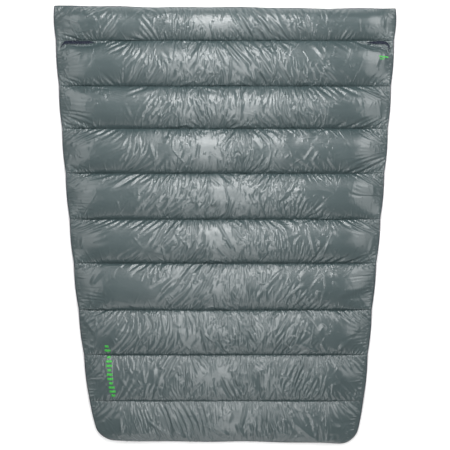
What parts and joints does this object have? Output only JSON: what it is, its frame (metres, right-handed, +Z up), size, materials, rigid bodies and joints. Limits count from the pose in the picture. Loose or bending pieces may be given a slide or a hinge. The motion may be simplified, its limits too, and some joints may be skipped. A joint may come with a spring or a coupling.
{
  "type": "camp quilt",
  "caption": "Wide tapered camp quilt with sewn-through cross channels of down, a straight head edge and a rounded foot end; it folds at every channel seam.",
  "frame": {"origin": "on the ground under the middle of the quilt's outline, laid flat with its shell up", "axes": "+Y towards the wide head edge, +X across the quilt to the right, +Z up out of the shell"},
  "size_m": [1.524, 1.95, 0.0606],
  "materials": {
    "shell_fabric": "thin glossy calendered ripstop nylon, slate grey-green",
    "lining_fabric": "soft-sheen nylon taffeta, dark navy",
    "down": "loose down clusters, matte, hidden inside the channels",
    "thread": "dark polyester lockstitch thread",
    "printed_mark": "green heat-transfer print, satin"
  },
  "bodies": {
    "channel_1": {"shell_1": "shell_fabric", "lining_1": "lining_fabric", "down_fill_1": "down", "quilting_seam_1": "thread"},
    "channel_2": {"shell_2": "shell_fabric", "lining_2": "lining_fabric", "down_fill_2": "down", "quilting_seam_2": "thread"},
    "channel_3": {"shell_3": "shell_fabric", "lining_3": "lining_fabric", "down_fill_3": "down", "quilting_seam_3": "thread"},
    "channel_4": {"shell_4": "shell_fabric", "lining_4": "lining_fabric", "down_fill_4": "down", "quilting_seam_4": "thread"},
    "channel_5": {"shell_5": "shell_fabric", "lining_5": "lining_fabric", "down_fill_5": "down", "quilting_seam_5": "thread"},
    "channel_6": {"shell_6": "shell_fabric", "lining_6": "lining_fabric", "down_fill_6": "down", "quilting_seam_6": "thread"},
    "channel_7": {"shell_7": "shell_fabric", "lining_7": "lining_fabric", "down_fill_7": "down", "quilting_seam_7": "thread"},
    "channel_8": {"shell_8": "shell_fabric", "lining_8": "lining_fabric", "down_fill_8": "down", "quilting_seam_8": "thread"},
    "channel_9": {"shell_9": "shell_fabric", "lining_9": "lining_fabric", "down_fill_9": "down", "quilting_seam_9": "thread"},
    "channel_10": {"shell_10": "shell_fabric", "lining_10": "lining_fabric", "down_fill_10": "down"}
  },
  "joints": [
    {"name": "seam_fold_1", "type": "hinge", "parent": "channel_2", "child": "channel_1", "pos_m": [0, 0.823, 0.018], "axis": [1, 0, 0], "range_deg": [0, 85]},
    {"name": "seam_fold_2", "type": "hinge", "parent": "channel_3", "child": "channel_2", "pos_m": [0, 0.62, 0.018], "axis": [1, 0, 0], "range_deg": [0, 85]},
    {"name": "seam_fold_3", "type": "hinge", "parent": "channel_4", "child": "channel_3", "pos_m": [0, 0.431, 0.018], "axis": [1, 0, 0], "range_deg": [0, 70]},
    {"name": "seam_fold_4", "type": "hinge", "parent": "channel_5", "child": "channel_4", "pos_m": [0, 0.231, 0.018], "axis": [1, 0, 0], "range_deg": [0, 66]},
    {"name": "seam_fold_5", "type": "hinge", "parent": "channel_6", "child": "channel_5", "pos_m": [0, 0.026, 0.018], "axis": [1, 0, 0], "range_deg": [0, 66]},
    {"name": "seam_fold_6", "type": "hinge", "parent": "channel_7", "child": "channel_6", "pos_m": [0, -0.17, 0.018], "axis": [1, 0, 0], "range_deg": [0, 56]},
    {"name": "seam_fold_7", "type": "hinge", "parent": "channel_8", "child": "channel_7", "pos_m": [0, -0.379, 0.018], "axis": [1, 0, 0], "range_deg": [0, 54]},
    {"name": "seam_fold_8", "type": "hinge", "parent": "channel_9", "child": "channel_8", "pos_m": [0, -0.579, 0.018], "axis": [1, 0, 0], "range_deg": [0, 55]},
    {"name": "seam_fold_9", "type": "hinge", "parent": "channel_10", "child": "channel_9", "pos_m": [0, -0.785, 0.018], "axis": [1, 0, 0], "range_deg": [0, 59]}
  ]
}
